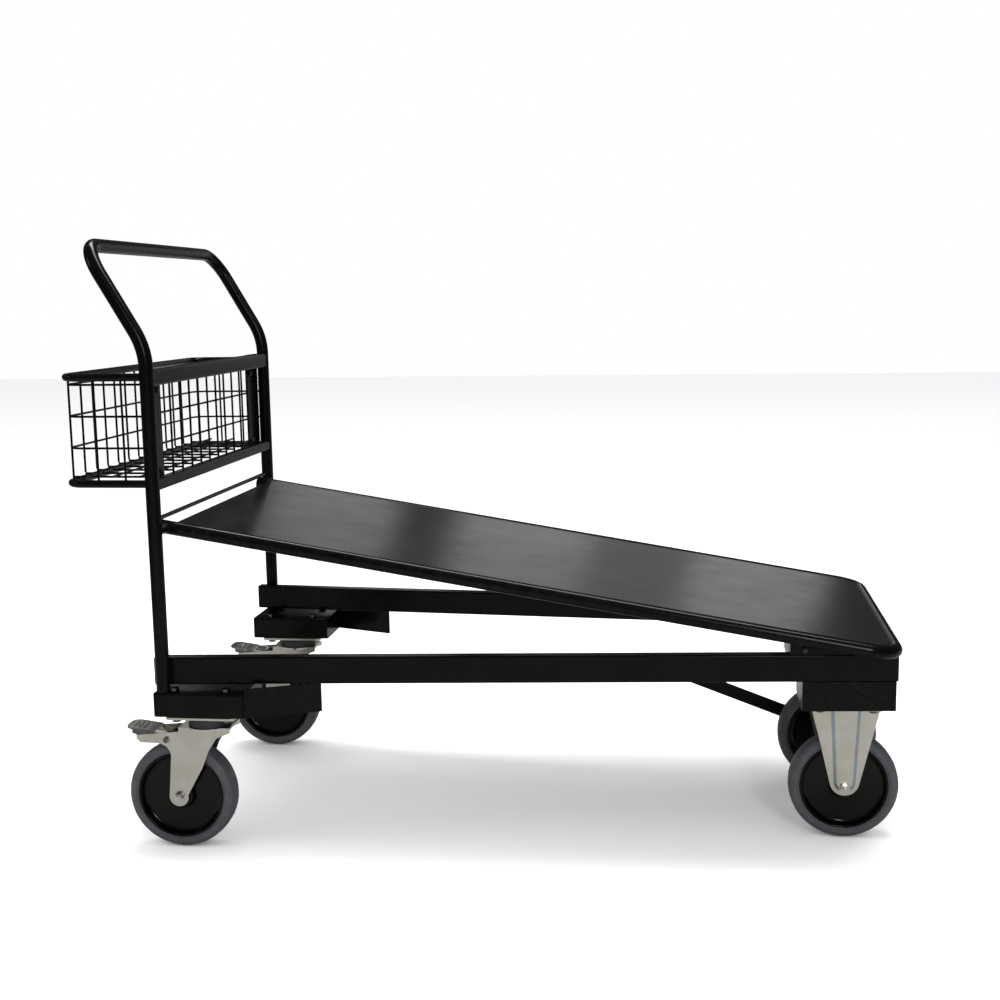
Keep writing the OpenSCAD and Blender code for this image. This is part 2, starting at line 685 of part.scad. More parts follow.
module rear_axle_right() { color(ZINC) at_rear(-1) mirror([0, 1, 0]) axle(fork_out, fork_out); }

// Brake pedal: two arms inside the fork, a tongue that sticks out behind, and the pin
arm_t = 3;
arm_gap = 0.6;
tread_w = 2 * (fork_in - arm_gap);
module tongue(l, r) {
  translate([r - l, -tread_w / 2]) square([l - r, tread_w]);
  translate([-l, r - tread_w / 2]) square([l, tread_w - 2 * r]);
  for (s = [-1, 1]) translate([r - l, s * (tread_w / 2 - r)]) circle(r = r);
}
module pedal() {
  tread_l = 54;
  tilt = 8;
  tread_x = -26;
  tread_z = 14;
  rise = 40 * tan(tilt);
  translate([pedal_x + king_x, king_y, pedal_z]) difference() {
    union() {
      for (s = [-1, 1]) translate([0, s * (tread_w - arm_t) / 2 + arm_t / 2, 0])
        rotate([90, 0, 0]) linear_extrude(arm_t) {
          circle(r = 8);
          polygon([[0, -8], [0, 8], [tread_x, tread_z - 1.5], [tread_x - 40, tread_z + rise - 1.5],
            [tread_x - 40, tread_z - 4], [-42, 3]]);
        }
      translate([tread_x, 0, tread_z]) rotate([0, tilt, 0]) {
        translate([0, 0, -3]) linear_extrude(3) tongue(tread_l, 16);
        for (i = [0 : 2]) translate([12 - tread_l + i * 9, -tread_w / 2 + 14, -1]) cube([4, tread_w - 28, 2]);
      }
    }
    translate([0, -100, 0]) rod_y(pedal_pin_d, 200);
  }
}
module pedal_pin() {
  reach = fork_out + arm_gap;
  translate([pedal_x + king_x, king_y, pedal_z]) {
    translate([0, -reach, 0]) rod_y(pedal_pin_d, 2 * reach);
    for (s = [-1, 1]) translate([0, s * (reach + 1) - 1, 0]) rod_y(12, 2);
  }
}
module pedal_left() { color(ZINC) on_floor() { pedal(); pedal_pin(); } }
module pedal_right() { color(ZINC) on_floor() mirror([0, 1, 0]) { pedal(); pedal_pin(); } }
// The shoe hangs on the pin between the legs, just clear of the tyre
module brake_shoe() {
  w = tread_w - 2 * arm_t - 2;
  translate([pedal_x + king_x, king_y, pedal_z]) difference() {
    union() {
      translate([0, -w / 2, 0]) rod_y(14, w);
      translate([-16, -w / 2, -7]) cube([16, w, 7]);
    }
    translate([0, -100, 0]) rod_y(pedal_pin_d, 200);
  }
}
module brake_shoe_left() { color(PLASTIC) on_floor() brake_shoe(); }
module brake_shoe_right() { color(PLASTIC) on_floor() mirror([0, 1, 0]) brake_shoe(); }

// A flat lever that turns on the left front wheel's axle bolt
module foot_lever() {
  face_y = front_y + fork_out + 2.5 + 0.5;
  lever_h = 26;
  color(BLACK) on_floor() translate([front_axle_x, face_y, wheel_r]) rotate([0, lever_slope, 0])
    difference() {
      translate([0, lever_t, 0]) rotate([90, 0, 0]) linear_extrude(lever_t) {
        translate([-lever_l, -lever_h / 2]) square([lever_l, lever_h]);
        circle(d = lever_h);
        translate([-lever_l, 0]) circle(d = lever_h);
      }
      translate([0, -10, 0]) rotate([-90, 0, 0]) cylinder(h = 30, r = axle_bolt_d / 2 + run_gap);
    }
}

handle_frame();
stop_rod();
side_beam_left();
side_beam_right();
beam_end_caps();
rear_housing_left();
rear_housing_right();
front_housing_left();
front_housing_right();
housing_end_plates();
guide_plate_left();
guide_plate_right();
front_cross_member();
deck_tube();
deck_lugs();
deck_panel();
deck_ribs();
deck_supports();
screws();
basket_rim_top();
basket_rim_bottom();
basket_rail_top();
basket_rail_bottom();
basket_strips();
basket_mesh_front();
basket_mesh_back();
basket_mesh_sides();
basket_mesh_floor();
basket_corner_wires();
caster_bolts();
caster_nuts();
front_fork_left();
front_fork_right();
front_axles();
front_rim_left();
front_rim_right();
front_tyre_left();
front_tyre_right();
front_bearings_left();
front_bearings_right();
rear_plate_left();
rear_plate_right();
king_pins();
rear_fork_left();
rear_fork_right();
seal_left();
seal_right();
rear_axle_left();
rear_axle_right();
rear_rim_left();
rear_rim_right();
rear_tyre_left();
rear_tyre_right();
rear_bearings_left();
rear_bearings_right();
pedal_left();
pedal_right();
brake_shoe_left();
brake_shoe_right();
foot_lever();
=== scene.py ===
# %% [markdown]
# # A nesting platform trolley
# A hotel or shop keeps a row of these trolleys pushed into each other.  The
# deck slopes down to the front, so the next trolley's deck slides in under it.
# This lesson loads the trolley's welded frame and casters as they were drawn
# in CAD, gives every piece its finish, and adds what CAD leaves out: a tube
# with unbroken shading, moulded tyres and rims, sloping panel flanks and wear.

import math

import bmesh
import bpy
from mathutils import Matrix, Vector
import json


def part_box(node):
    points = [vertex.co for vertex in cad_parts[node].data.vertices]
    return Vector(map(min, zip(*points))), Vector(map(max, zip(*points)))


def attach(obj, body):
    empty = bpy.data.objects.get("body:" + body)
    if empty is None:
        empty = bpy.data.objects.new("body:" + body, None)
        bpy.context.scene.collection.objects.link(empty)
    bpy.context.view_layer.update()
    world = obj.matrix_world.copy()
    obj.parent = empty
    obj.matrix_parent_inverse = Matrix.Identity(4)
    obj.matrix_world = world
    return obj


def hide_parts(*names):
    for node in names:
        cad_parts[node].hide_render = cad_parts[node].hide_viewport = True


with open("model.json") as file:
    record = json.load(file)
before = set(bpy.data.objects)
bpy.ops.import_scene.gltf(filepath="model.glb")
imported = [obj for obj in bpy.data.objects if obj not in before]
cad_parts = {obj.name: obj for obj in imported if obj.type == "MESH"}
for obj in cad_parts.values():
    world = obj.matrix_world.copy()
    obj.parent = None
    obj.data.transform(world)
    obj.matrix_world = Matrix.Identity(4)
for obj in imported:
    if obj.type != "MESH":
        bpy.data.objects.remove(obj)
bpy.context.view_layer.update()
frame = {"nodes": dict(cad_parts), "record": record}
nodes = frame["nodes"]

# %% Shared measures
def middle(node):
    low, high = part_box(node)
    return (low + high) / 2


tube_r = 0.0125
bend_swell = 0.00015  # the CAD draws the bends a little fuller than the tube
upright_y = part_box("handle_frame")[1].y - tube_r - bend_swell
upright_x = middle("stop_rod").x
handle_foot_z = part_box("handle_frame")[0].z
print("uprights at x", round(upright_x, 4), "y", round(upright_y, 4))

# %% [markdown]
# ## Finishes: how a painted surface is built from noise
# Each finish is a node tree on a Principled shader.  Object coordinates are
# metres here, because every CAD object sits at the origin.  One helper makes
# a noise at a real grain size, one maps it to a small range, and one turns it
# into relief, so each finish below reads like a recipe.

# %% Helpers for finishes
class Finish:
    def __init__(self, name):
        self.material = bpy.data.materials.new(name)
        self.material.use_nodes = True
        self.tree = self.material.node_tree
        self.shader = self.tree.nodes["Principled BSDF"]
        self.place = self.tree.nodes.new("ShaderNodeTexCoord").outputs["Object"]
        self.relief = None

    def link(self, a, b):
        self.tree.links.new(a, b)

    def grain(self, size, detail=3.0, rough=0.5, stretch=None, distort=0.0):
        noise = self.tree.nodes.new("ShaderNodeTexNoise")
        noise.inputs["Scale"].default_value = 1 / size
        noise.inputs["Detail"].default_value = detail
        noise.inputs["Roughness"].default_value = rough
        noise.inputs["Distortion"].default_value = distort
        place = self.place
        if stretch:
            mapping = self.tree.nodes.new("ShaderNodeMapping")
            mapping.inputs["Scale"].default_value = stretch
            self.link(self.place, mapping.inputs["Vector"])
            place = mapping.outputs["Vector"]
        self.link(place, noise.inputs["Vector"])
        return noise.outputs["Fac"]

    def spread(self, value, low, high, out_low=0.0, out_high=1.0):
        span = self.tree.nodes.new("ShaderNodeMapRange")
        for socket, number in zip(
            ("From Min", "From Max", "To Min", "To Max"), (low, high, out_low, out_high)
        ):
            span.inputs[socket].default_value = number
        self.link(value, span.inputs["Value"])
        return span.outputs["Result"]

    def blend(self, fac, a, b):
        mix = self.tree.nodes.new("ShaderNodeMix")
        mix.data_type = "RGBA"
        self.link(fac, mix.inputs["Factor"])
        for socket, colour in ((6, a), (7, b)):
            if isinstance(colour, tuple):
                mix.inputs[socket].default_value = (*colour, 1)
            else:
                self.link(colour, mix.inputs[socket])
        return mix.outputs[2]

    def maths(self, kind, a, b):
        node = self.tree.nodes.new("ShaderNodeMath")
        node.operation = kind
        for socket, value in zip(node.inputs, (a, b)):
            if isinstance(value, (int, float)):
                socket.default_value = value
            else:
                self.link(value, socket)
        return node.outputs["Value"]

    def bump(self, value, depth):
        node = self.tree.nodes.new("ShaderNodeBump")
        node.inputs["Distance"].default_value = depth
        self.link(value, node.inputs["Height"])
        if self.relief:
            self.link(self.relief, node.inputs["Normal"])
        self.relief = node.outputs["Normal"]
        self.link(self.relief, self.shader.inputs["Normal"])

    def edges(self):
        worn = self.tree.nodes.new("ShaderNodeNewGeometry").outputs["Pointiness"]
        return self.spread(worn, 0.53, 0.60)


print("finish helper ready")

# %% [markdown]
# ## Black powder coat on tubes and beams
# The frame is sprayed with powder and baked, which leaves a thick even black
# skin, glossy but with a fine orange-peel ripple, a little dust in the baked
# skin, and rubbed, slightly greyer edges.  A coat layer over a dark base gives
# the double gloss of baked powder.

# %% Black coat
def make_black_coat(name, shine, peel):
    coat = Finish(name)
    dust = coat.grain(0.045, 5, 0.6)
    colour = coat.blend(coat.spread(dust, 0.35, 0.75), (0.0016, 0.0015, 0.0014), (0.0030, 0.0027, 0.0024))
    speck = coat.spread(coat.grain(0.0022, 2, 0.5), 0.70, 0.78)
    colour = coat.blend(coat.maths("MULTIPLY", speck, 0.15), colour, (0.009, 0.008, 0.007))
    worn = coat.maths("MULTIPLY", coat.edges(), coat.spread(coat.grain(0.012, 4, 0.7), 0.5, 0.66))
    colour = coat.blend(coat.maths("MULTIPLY", worn, 0.06), colour, (0.05, 0.048, 0.046))
    coat.link(colour, coat.shader.inputs["Base Color"])
    gloss = coat.spread(coat.grain(0.03, 4, 0.6), 0.3, 0.7, shine - 0.04, shine + 0.06)
    coat.link(gloss, coat.shader.inputs["Roughness"])
    coat.shader.inputs["Specular IOR Level"].default_value = 0.10
    coat.shader.inputs["Coat Weight"].default_value = 0.07
    coat.shader.inputs["Coat Roughness"].default_value = 0.12
    coat.bump(coat.grain(0.009, 2, 0.4), peel)
    coat.bump(coat.grain(0.0016, 1, 0.4), peel * 0.06)
    return coat.material


black_coat = make_black_coat("black powder coat", 0.22, 0.00002)
print("made", black_coat.name)

# %% [markdown]
# ## Satin sheet of the deck
# The deck sheet has the same powder, but luggage has polished and scuffed it.
# A thin sheet also bows a little between its ribs, so reflections stretch and
# wander.  The bow is a very long, very shallow relief, and the scuffs are fine
# lines along the way that luggage slides.

# %% Deck coat
deck = Finish("deck satin coat")
scuff = deck.spread(deck.grain(0.02, 3, 0.55, stretch=(0.08, 1.0, 1.0)), 0.56, 0.74)
cloud = deck.spread(deck.grain(0.22, 4, 0.55), 0.35, 0.7)
colour = deck.blend(cloud, (0.0045, 0.0045, 0.0047), (0.0075, 0.0075, 0.0078))
colour = deck.blend(deck.maths("MULTIPLY", scuff, 0.12), colour, (0.020, 0.020, 0.021))
deck.link(colour, deck.shader.inputs["Base Color"])
polish = deck.spread(deck.grain(0.09, 4, 0.6), 0.3, 0.7, 0.20, 0.26)
gloss = deck.maths("ADD", polish, deck.maths("MULTIPLY", scuff, 0.03))
deck.link(gloss, deck.shader.inputs["Roughness"])
deck.bump(deck.grain(0.28, 1, 0.4, stretch=(1.0, 0.5, 1.0)), 0.0030)
deck.bump(deck.grain(0.05, 1, 0.3), 0.00006)
deck_coat = deck.material
print("made", deck_coat.name)

# %% [markdown]
# ## Bright zinc plate
# Forks, plates, bolts and pedals are pressed steel with a thin bright zinc
# plate.  It is a metal with a faint warm and blue cast in clouds, drawing
# lines from the press, and small dull spots.

# %% Zinc
def make_zinc(name, warm, pale, dull):
    zinc = Finish(name)
    tint = zinc.spread(zinc.grain(0.035, 3, 0.5, distort=0.6), 0.35, 0.68)
    colour = zinc.blend(tint, warm, pale)
    spots = zinc.spread(zinc.grain(0.004, 4, 0.6), 0.62, 0.72)
    colour = zinc.blend(zinc.maths("MULTIPLY", spots, 0.5), colour, dull)
    zinc.link(colour, zinc.shader.inputs["Base Color"])
    zinc.shader.inputs["Metallic"].default_value = 1.0
    lines = zinc.grain(0.0016, 3, 0.6, stretch=(1.0, 1.0, 0.08))
    zinc.link(zinc.spread(lines, 0.3, 0.7, 0.17, 0.27), zinc.shader.inputs["Roughness"])
    zinc.bump(lines, 0.000006)
    zinc.bump(zinc.grain(0.030, 2, 0.4), 0.00045)
    return zinc.material


zinc_plate = make_zinc("zinc plate", (0.60, 0.58, 0.52), (0.66, 0.66, 0.64), (0.42, 0.41, 0.39))
# a darker, bluer copy of the zinc for the panel flanks: painted shade and dim reflection on their sloping
# faces
flank_shade_zinc = make_zinc("flank shade zinc", (0.30, 0.36, 0.40), (0.40, 0.47, 0.52), (0.26, 0.28, 0.30))
dull_zinc = make_zinc("dull zinc", (0.10, 0.10, 0.10), (0.17, 0.17, 0.16), (0.06, 0.06, 0.06))
print("made", zinc_plate.name)

# %% [markdown]
# ## Rubber, plastics and small steel
# The tyres are solid elastic rubber, a dull blue-grey with fine scuffs and
# dust on the tread.  The rims are glossy black moulding, the seals and plugs
# are matt plastic, and the bearings and screws are plain turned or blackened
# steel.

# %% Tyre rubber
rubber = Finish("elastic rubber")
dust = rubber.spread(rubber.grain(0.02, 5, 0.65), 0.40, 0.75)
colour = rubber.blend(dust, (0.036, 0.038, 0.043), (0.053, 0.055, 0.061))
marks = rubber.spread(rubber.grain(0.003, 3, 0.6), 0.66, 0.76)
colour = rubber.blend(rubber.maths("MULTIPLY", marks, 0.4), colour, (0.13, 0.13, 0.13))
rubber.link(colour, rubber.shader.inputs["Base Color"])
dullness = rubber.spread(rubber.grain(0.012, 4, 0.6), 0.3, 0.7, 0.46, 0.60)
rubber.link(dullness, rubber.shader.inputs["Roughness"])
rubber.bump(rubber.grain(0.0011, 3, 0.6), 0.00005)
rubber.bump(rubber.grain(0.02, 2, 0.5), 0.00015)
tyre_rubber = rubber.material
print("made", tyre_rubber.name)

# %% Plastics and small steel
def make_plain(name, dark, light, shine, grain_size, depth, metal=0.0, level=0.5):
    finish = Finish(name)
    mixed = finish.blend(finish.spread(finish.grain(0.02, 4, 0.6), 0.35, 0.7), dark, light)
    finish.link(mixed, finish.shader.inputs["Base Color"])
    finish.link(
        finish.spread(finish.grain(0.008, 3, 0.6), 0.3, 0.7, shine - 0.04, shine + 0.06),
        finish.shader.inputs["Roughness"],
    )
    finish.shader.inputs["Metallic"].default_value = metal
    finish.shader.inputs["Specular IOR Level"].default_value = level
    finish.bump(finish.grain(grain_size, 2, 0.5), depth)
    return finish.material


rim_plastic = make_plain(
    "rim moulding", (0.0014, 0.0014, 0.0014), (0.0028, 0.0027, 0.0025),
    0.15, 0.004, 0.00001, level=0.22,
)
black_plastic = make_plain(
    "matt moulding", (0.013, 0.013, 0.014), (0.020, 0.020, 0.021),
    0.52, 0.0008, 0.00004,
)
black_screw = make_plain(
    "blackened screw steel", (0.020, 0.020, 0.022), (0.035, 0.034, 0.034),
    0.30, 0.001, 0.00003, metal=0.6,
)
bearing_steel = make_plain(
    "turned steel", (0.36, 0.36, 0.37), (0.50, 0.50, 0.51),
    0.28, 0.0009, 0.00003, metal=1.0,
)
print("plastics and steels ready")

# %% [markdown]
# ## Give each CAD piece its finish and its rounded edges
# A CAD solid has knife edges, and a real folded or sawn edge never has.  A
# Weld modifier first joins the points that the file format splits, a Bevel
# modifier then rounds only the sharp corners, and Weighted Normal keeps the
# flats flat.  The CAD mesh itself stays as it is.

# %% Finishes by slot
finishes = {
    "black_coat": black_coat,
    "deck_coat": deck_coat,
    "zinc_plate": zinc_plate,
    "bearing_steel": bearing_steel,
    "black_screw": black_screw,
    "rim_plastic": rim_plastic,
    "black_plastic": black_plastic,
    "tyre_rubber": tyre_rubber,
}
slot_of = {row["node"]: row["material_slot"] for row in frame["record"]["subparts"]}


def round_edges(piece, width, steps=2, angle=35):
    weld = piece.modifiers.new("join points", "WELD")
    weld.merge_threshold = 0.00001
    bevel = piece.modifiers.new("round edges", "BEVEL")
    bevel.width = width
    bevel.segments = steps
    bevel.limit_method = "ANGLE"
    bevel.angle_limit = math.radians(angle)
    bevel.use_clamp_overlap = True
    bevel.harden_normals = False
    normal = piece.modifiers.new("even shading", "WEIGHTED_NORMAL")
    normal.keep_sharp = False
    normal.weight = 60


def smooth_by_angle(mesh, angle=32):
    mesh.shade_smooth()
    mesh.set_sharp_from_angle(angle=math.radians(angle))


edge_width = {
    "side_beam_left": 0.0006, "side_beam_right": 0.0006, "beam_end_caps": 0.0008,
    "rear_housing_left": 0.0012, "rear_housing_right": 0.0012,
    "front_housing_left": 0.0012, "front_housing_right": 0.0012,
    "housing_end_plates": 0.0006, "guide_plate_left": 0.0008, "guide_plate_right": 0.0008,
    "front_cross_member": 0.0010, "deck_panel": 0.0005, "deck_supports": 0.0008,
    "basket_rail_top": 0.0009, "basket_rail_bottom": 0.0009, "basket_strips": 0.0006,
    "front_fork_left": 0.0007, "front_fork_right": 0.0007,
    "rear_fork_left": 0.0007, "rear_fork_right": 0.0007,
    "rear_plate_left": 0.0007, "rear_plate_right": 0.0007,
    "pedal_left": 0.0006, "pedal_right": 0.0006, "foot_lever": 0.0009,
    "caster_bolts": 0.0004, "caster_nuts": 0.0004, "front_axles": 0.0004,
    "rear_axle_left": 0.0004, "rear_axle_right": 0.0004, "screws": 0.0003,
    "seal_left": 0.0006, "seal_right": 0.0006,
}
for name, piece in nodes.items():
    piece.data.materials.clear()
    finish = dull_zinc if name in ("caster_nuts", "caster_bolts") else finishes[slot_of[name]]
    piece.data.materials.append(finish)
    smooth_by_angle(piece.data)
    if name in edge_width:
        round_edges(piece, edge_width[name])
print("dressed", len(nodes), "pieces,", len(edge_width), "with rounded edges")

# %% [markdown]
# ## Swept tubes
# The handle is one tube, bent four times, so its shading should run on
# without a break.  A swept tube follows straight lines with an arc at each
# corner.  Each ring of points stands square to the path, which keeps the
# wall round in the bends, as a mandrel does.

# %% Path and sweep helpers
def arc_corner(before, corner, after, radius, steps=14):
    a = (before - corner).normalized()
    b = (after - corner).normalized()
    half = a.angle(b) / 2
    middle_line = (a + b).normalized()
    centre = corner + middle_line * (radius / math.sin(half))
    start = corner + a * (radius / math.tan(half))
    end = corner + b * (radius / math.tan(half))
    u = (start - centre).normalized()
    v = (end - centre).normalized()
    turn = u.angle(v)
    axis = u.cross(v).normalized()
    return [centre + Matrix.Rotation(turn * i / steps, 3, axis) @ (u * radius) for i in range(steps + 1)]


def bent_path(corners, radii):
    points = [Vector(corners[0])]
    for i in range(1, len(corners) - 1):
        before, corner, after = (Vector(corners[j]) for j in (i - 1, i, i + 1))
        points += arc_corner(before, corner, after, radii[i - 1])
    points.append(Vector(corners[-1]))
    return points


def sweep(name, points, radius, finish, sides=40, body="frame"):
    mesh = bpy.data.meshes.new(name)
    bm = bmesh.new()
    rings = []
    side = None
    for i, point in enumerate(points):
        ahead = points[min(i + 1, len(points) - 1)] - points[max(i - 1, 0)]
        ahead.normalize()
        if side is None:
            seed = Vector((1, 0, 0)) if abs(ahead.x) < 0.9 else Vector((0, 1, 0))
            side = ahead.cross(seed).normalized()
        side = (side - ahead * side.dot(ahead)).normalized()
        up = ahead.cross(side)
        rings.append([
            bm.verts.new(point + (side * math.cos(t) + up * math.sin(t)) * radius)
            for t in (2 * math.pi * k / sides for k in range(sides))
        ])
    for a, b in zip(rings, rings[1:]):
        for k in range(sides):
            n = (k + 1) % sides
            bm.faces.new((a[k], a[n], b[n], b[k]))
    bm.faces.new(rings[0][::-1])
    bm.faces.new(rings[-1])
    bmesh.ops.recalc_face_normals(bm, faces=bm.faces)
    bm.to_mesh(mesh)
    bm.free()
    smooth_by_angle(mesh, 40)
    mesh.materials.append(finish)
    tube = bpy.data.objects.new(name, mesh)
    bpy.context.scene.collection.objects.link(tube)
    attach(tube, body)
    return tube


print("sweep helper ready")

# %% [markdown]
# ## The handle
# Both uprights stand on the rear caster housings, lean back above the basket
# and meet in the push bar.  The corner of the lean is found from where its
# bend starts and how far it turns.

# %% Handle
lean = math.radians(30)
lean_start_z, lean_radius = 0.882, 0.130
lean_corner_z = lean_start_z + lean_radius * math.tan(lean / 2)
bar_x = upright_x - lean_radius * (1 - math.cos(lean)) - 0.172 * math.sin(lean)
bar_z = lean_start_z + lean_radius * math.sin(lean) + 0.172 * math.cos(lean)
handle_corners = [
    (upright_x, -upright_y, handle_foot_z), (upright_x, -upright_y, lean_corner_z),
    (bar_x, -upright_y, bar_z), (bar_x, upright_y, bar_z),
    (upright_x, upright_y, lean_corner_z), (upright_x, upright_y, handle_foot_z),
]
handle = sweep(
    "handle_tube", bent_path(handle_corners, [lean_radius, 0.058, 0.058, lean_radius]),
    tube_r, black_coat, sides=48,
)
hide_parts("handle_frame")
print("push bar at height", round(bar_z, 3))

# %% [markdown]
# ## Wheels turned on a lathe
# A rim is an injection moulding: a bright lip, a deep disc between lip and
# hub, and a raised hub.  The tyre is cast on it, with a small step where it
# meets the lip and a crowned tread.  Both are one outline turned round the
# axle, and short cells of outline points keep the shapes easy to change.

# %% Lathe helper
def turn(name, outline, centre, finish, slot, body, stands_for, sides=160):
    mesh = bpy.data.meshes.new(name)
    bm = bmesh.new()
    rings = []
    for r, y in outline:
        rings.append([
            bm.verts.new((centre.x + r * math.cos(t), centre.y + y, centre.z + r * math.sin(t)))
            for t in (2 * math.pi * k / sides for k in range(sides))
        ])
    for a, b in zip(rings, rings[1:] + rings[:1]):
        for k in range(sides):
            n = (k + 1) % sides
            bm.faces.new((a[k], a[n], b[n], b[k]))
    bmesh.ops.recalc_face_normals(bm, faces=bm.faces)
    bm.to_mesh(mesh)
    bm.free()
    smooth_by_angle(mesh, 45)
    mesh.materials.append(finish)
    part = bpy.data.objects.new(name, mesh)
    bpy.context.scene.collection.objects.link(part)
    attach(part, body)
    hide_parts(stands_for)
    return part


def rounded(points, radius, steps=4):
    out = []
    total = len(points)
    for i in range(total):
        p, q, s = (Vector((*points[j % total], 0)) for j in (i - 1, i, i + 1))
        a, b = p - q, s - q
        room = min(a.length, b.length) * 0.45
        half = a.angle(b) / 2
        r = min(radius, room * math.tan(half))
        if half > math.radians(87) or r < 1e-6:
            out.append((q.x, q.y))
            continue
        out += [(v.x, v.y) for v in arc_corner(p, q, s, r, steps)]
    return out


print("lathe helper ready")

# %% Rims and tyres
rim_outline = [
    (0.0140, -0.0245), (0.0200, -0.0245), (0.0232, -0.0225), (0.0258, -0.0105), (0.0300, -0.0085),
    (0.0695, -0.0085), (0.0730, -0.0105), (0.0752, -0.0205), (0.0768, -0.0228), (0.0800, -0.0228),
    (0.0800, 0.0228), (0.0768, 0.0228), (0.0752, 0.0205), (0.0730, 0.0105), (0.0695, 0.0085),
    (0.0300, 0.0085), (0.0258, 0.0105), (0.0232, 0.0225), (0.0200, 0.0245), (0.0140, 0.0245),
]
tyre_outline = [
    (0.0800, -0.0212), (0.0838, -0.0212), (0.0846, -0.0230), (0.0905, -0.0228), (0.0965, -0.0185),
    (0.0992, -0.0120), (0.1000, 0.0), (0.0992, 0.0120), (0.0965, 0.0185), (0.0905, 0.0228),
    (0.0846, 0.0230), (0.0838, 0.0212), (0.0800, 0.0212),
]
for end in ("front", "rear"):
    for hand in ("left", "right"):
        centre = middle(f"{end}_tyre_{hand}")
        body = f"{end}_wheel_{hand}"
        turn(f"{end}_rim_moulding_{hand}", rounded(rim_outline, 0.0022), centre,
             rim_plastic, "rim_plastic", body, f"{end}_rim_{hand}")
        turn(f"{end}_tyre_ring_{hand}", rounded(tyre_outline, 0.0030), centre,
             tyre_rubber, "tyre_rubber", body, f"{end}_tyre_{hand}")
print("four wheels turned")

# %% [markdown]
# ## Pressed panels on the front forks
# The front forks are stamped from sheet.  Each leg has a raised panel down
# its middle with sloping flanks, which stiffens it.  The CAD holds the flat
# top of the panel, so a panel with sloping flanks is laid over it, from the
# top's outline down to a wider outline on the leg.  The flanks get a darker,
# bluer copy of the zinc, which paints the shade and dim reflection they catch.

# %% Panels
def leg_outline(half_top, radius, top_z, centre_z, steps=16):
    points = [(-half_top, top_z), (half_top, top_z)]
    low = math.radians(12)
    for i in range(steps + 1):
        a = -low - (math.pi - 2 * low) * i / steps
        points.append((radius * math.cos(a), centre_z + radius * math.sin(a)))
    return points


def pressed_panel(name, centre, face_y, out):
    top_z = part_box("front_housing_left")[0].z - 0.006
    base = leg_outline(0.0272, 0.0200, top_z, centre.z + 0.012)
    crest = leg_outline(0.0212, 0.0145, top_z, centre.z + 0.012)
    mesh = bpy.data.meshes.new(name)
    bm = bmesh.new()
    rings = []
    for outline, rise in ((base, 0.0000), (base, 0.0003), (crest, 0.0024), (crest, 0.0026)):
        rings.append([bm.verts.new((centre.x + x, face_y + out * rise, z)) for x, z in outline])
    for a, b in zip(rings, rings[1:]):
        for k in range(len(a)):
            n = (k + 1) % len(a)
            flank = bm.faces.new((a[k], a[n], b[n], b[k]))
            # flank faces take the darker, bluer zinc, which paints their shade and reflection
            flank.material_index = 1
    bm.faces.new(rings[-1])
    bm.faces.new(rings[0][::-1])
    bmesh.ops.recalc_face_normals(bm, faces=bm.faces)
    bm.to_mesh(mesh)
    bm.free()
    smooth_by_angle(mesh, 30)
    mesh.materials.append(zinc_plate)
    mesh.materials.append(flank_shade_zinc)
    panel = bpy.data.objects.new(name, mesh)
    bpy.context.scene.collection.objects.link(panel)
    round_edges(panel, 0.0006, 2, 6)
    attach(panel, "frame")


for hand in ("left", "right"):
    wheel = middle(f"front_tyre_{hand}")
    for out in (-1, 1):
        face = "outer" if out * wheel.y > 0 else "inner"
        pressed_panel(f"fork_panel_{hand}_{face}", wheel, wheel.y + out * 0.030, out)
print("four panels pressed")

# %% [markdown]
# ## Stage, light and camera
# The trolley stands on a pale floor that runs up into a pale wall.  Black
# powder shows only what it mirrors, so the room counts more than the lamps: a
# soft lamp above and one in front draw the tubes' highlights, a row of bright
# windows far behind lies mirrored on the deck, and everything else that a
# reflection can meet is kept dim.

# %% Floor
bpy.ops.mesh.primitive_plane_add(size=30, location=(0, 0, 0))
floor = bpy.context.object
floor.name = "pale_floor"
floor_finish = Finish("pale floor")
floor_finish.shader.inputs["Roughness"].default_value = 0.9
floor_finish.shader.inputs["Specular IOR Level"].default_value = 0.1
pale = floor_finish.blend(floor_finish.grain(0.5, 3, 0.5), (0.92, 0.92, 0.92), (0.935, 0.935, 0.935))
ray = floor_finish.tree.nodes.new("ShaderNodeLightPath")
floor_finish.link(
    floor_finish.blend(ray.outputs["Is Glossy Ray"], pale, (0.30, 0.29, 0.27)),
    floor_finish.shader.inputs["Base Color"],
)
floor.data.materials.append(floor_finish.material)

# %% Lamps
def soft_lamp(name, place, aim, size, power, tint=(1, 1, 1)):
    data = bpy.data.lights.new(name, "AREA")
    data.shape = "RECTANGLE"
    data.size, data.size_y = size
    data.energy = power
    data.color = tint
    lamp = bpy.data.objects.new(name, data)
    lamp.location = place
    lamp.rotation_euler = (Vector(aim) - Vector(place)).to_track_quat("-Z", "Y").to_euler()
    bpy.context.scene.collection.objects.link(lamp)
    return lamp


cool = (0.93, 0.96, 1.0)
soft_lamp("overhead", (0.1, 0.3, 3.0), (0.0, 0.1, 0.4), (3.0, 0.7), 105, cool)
soft_lamp("front", (1.6, -4.2, 2.2), (0.0, 0.0, 0.4), (0.5, 1.6), 45, cool)
soft_lamp("left window", (-3.4, -1.2, 1.5), (0.0, 0.0, 0.6), (0.8, 1.6), 10, cool)
back_panels = {
    "side window": (-2.75, 1.20, 1.10),
    "rear window": (-1.15, 0.64, 1.45),
    "middle window": (-0.19, 0.66, 1.70),
    "dim curtain": (0.36, 0.42, 0.75),
    "front window": (0.95, 0.66, 1.90),
}
for name, (x, width, strength) in back_panels.items():
    panel = soft_lamp(name, (x, 4.0, 1.45), (x, 0.0, 1.45), (width, 1.5), strength * width * 1.5)
    panel.visible_camera = False
print("lamps set")

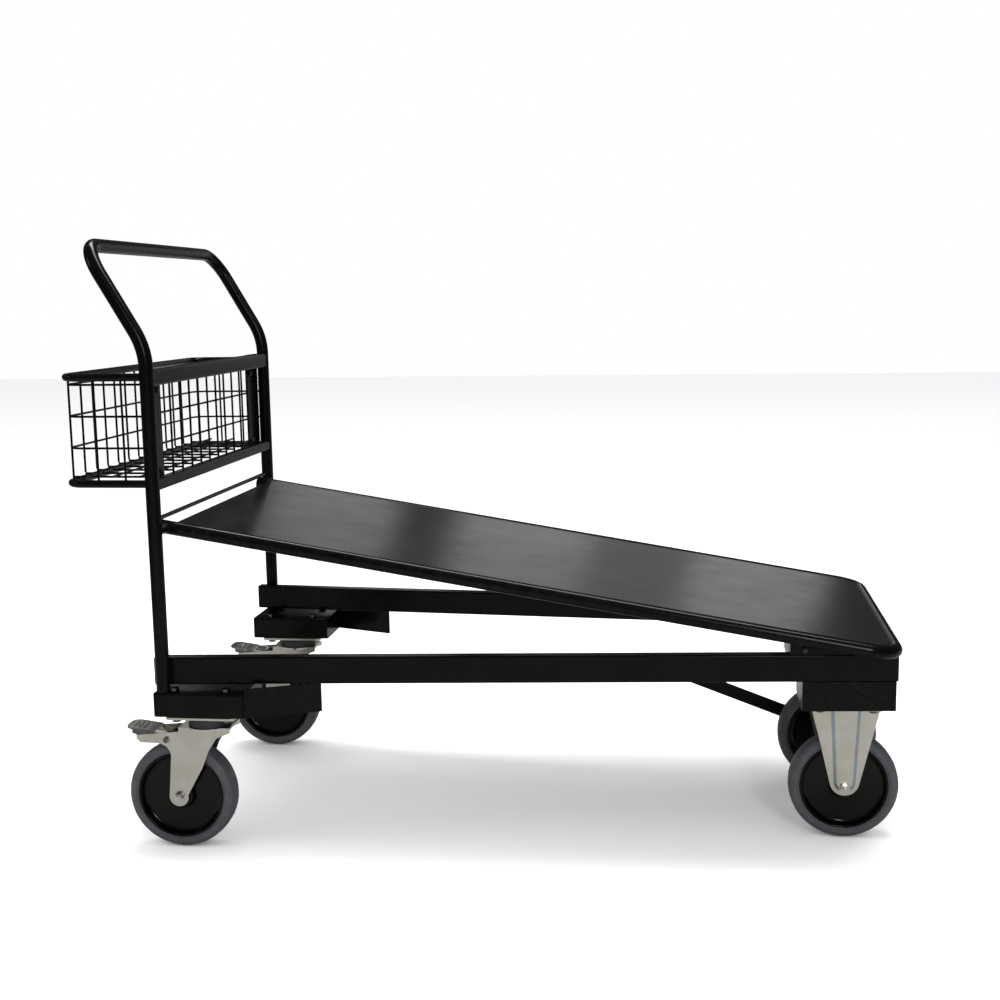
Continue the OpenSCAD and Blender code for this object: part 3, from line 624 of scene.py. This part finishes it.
# %% Dark cards at both sides, seen only in reflections
card_finish = Finish("dark card")
card_finish.link(
    card_finish.blend(card_finish.grain(0.4, 2, 0.5), (0.010, 0.012, 0.015), (0.014, 0.016, 0.020)),
    card_finish.shader.inputs["Base Color"],
)
for side in (-1, 1):
    bpy.ops.mesh.primitive_plane_add(size=1, location=(side * 2.1, -1.6, 0.6), rotation=(0, math.pi / 2, 0))
    card = bpy.context.object
    card.name = f"dark_card_{'left' if side < 0 else 'right'}"
    card.scale = (1.2, 3.4, 1)
    card.data.materials.append(card_finish.material)
    card.visible_camera = False
    card.visible_diffuse = False
    card.visible_shadow = False
print("two cards set")

# %% Surroundings
def grey_background(tree, level):
    background = tree.nodes.new("ShaderNodeBackground")
    background.inputs["Color"].default_value = (1, 1, 1, 1)
    background.inputs["Strength"].default_value = level
    return background.outputs["Background"]


world = bpy.data.worlds.new("pale room")
world.use_nodes = True
bpy.context.scene.world = world
room = world.node_tree
room.nodes.clear()
path = room.nodes.new("ShaderNodeLightPath")
levels = {"wall": 1.0, "filling light": 1.25}
height = room.nodes.new("ShaderNodeTexCoord")
split = room.nodes.new("ShaderNodeSeparateXYZ")
room.links.new(height.outputs["Generated"], split.inputs["Vector"])
band = room.nodes.new("ShaderNodeMapRange")
for socket, number in zip(("From Min", "From Max", "To Min", "To Max"), (0.02, 0.75, 0.035, 0.16)):
    band.inputs[socket].default_value = number
room.links.new(split.outputs["Z"], band.inputs["Value"])
dim = room.nodes.new("ShaderNodeBackground")
room.links.new(band.outputs["Result"], dim.inputs["Strength"])
result = dim.outputs["Background"]
for ray, level in (("Is Diffuse Ray", levels["filling light"]), ("Is Camera Ray", levels["wall"])):
    both = room.nodes.new("ShaderNodeMixShader")
    room.links.new(path.outputs[ray], both.inputs["Fac"])
    room.links.new(result, both.inputs[1])
    room.links.new(grey_background(room, level), both.inputs[2])
    result = both.outputs["Shader"]
output = room.nodes.new("ShaderNodeOutputWorld")
room.links.new(result, output.inputs["Surface"])
print("surroundings set")

# %% Camera
camera_data = bpy.data.cameras.new("camera")
camera = bpy.data.objects.new("camera", camera_data)
bpy.context.scene.collection.objects.link(camera)
camera_data.lens = 49.47
camera_data.sensor_width = 36
camera_data.shift_x = -0.0233
camera_data.shift_y = 0.0085
camera.location = (0.3526, -2.6391, 0.9954)
turn_left, tilt_down, roll = 0.1183, 0.1524, -0.0139
camera.rotation_euler = (
    Matrix.Rotation(turn_left, 3, "Z")
    @ Matrix.Rotation(math.pi / 2 - tilt_down, 3, "X")
    @ Matrix.Rotation(roll, 3, "Z")
).to_euler()
bpy.context.scene.camera = camera
bpy.context.scene.view_settings.view_transform = "Standard"

# %% End of the script
import json
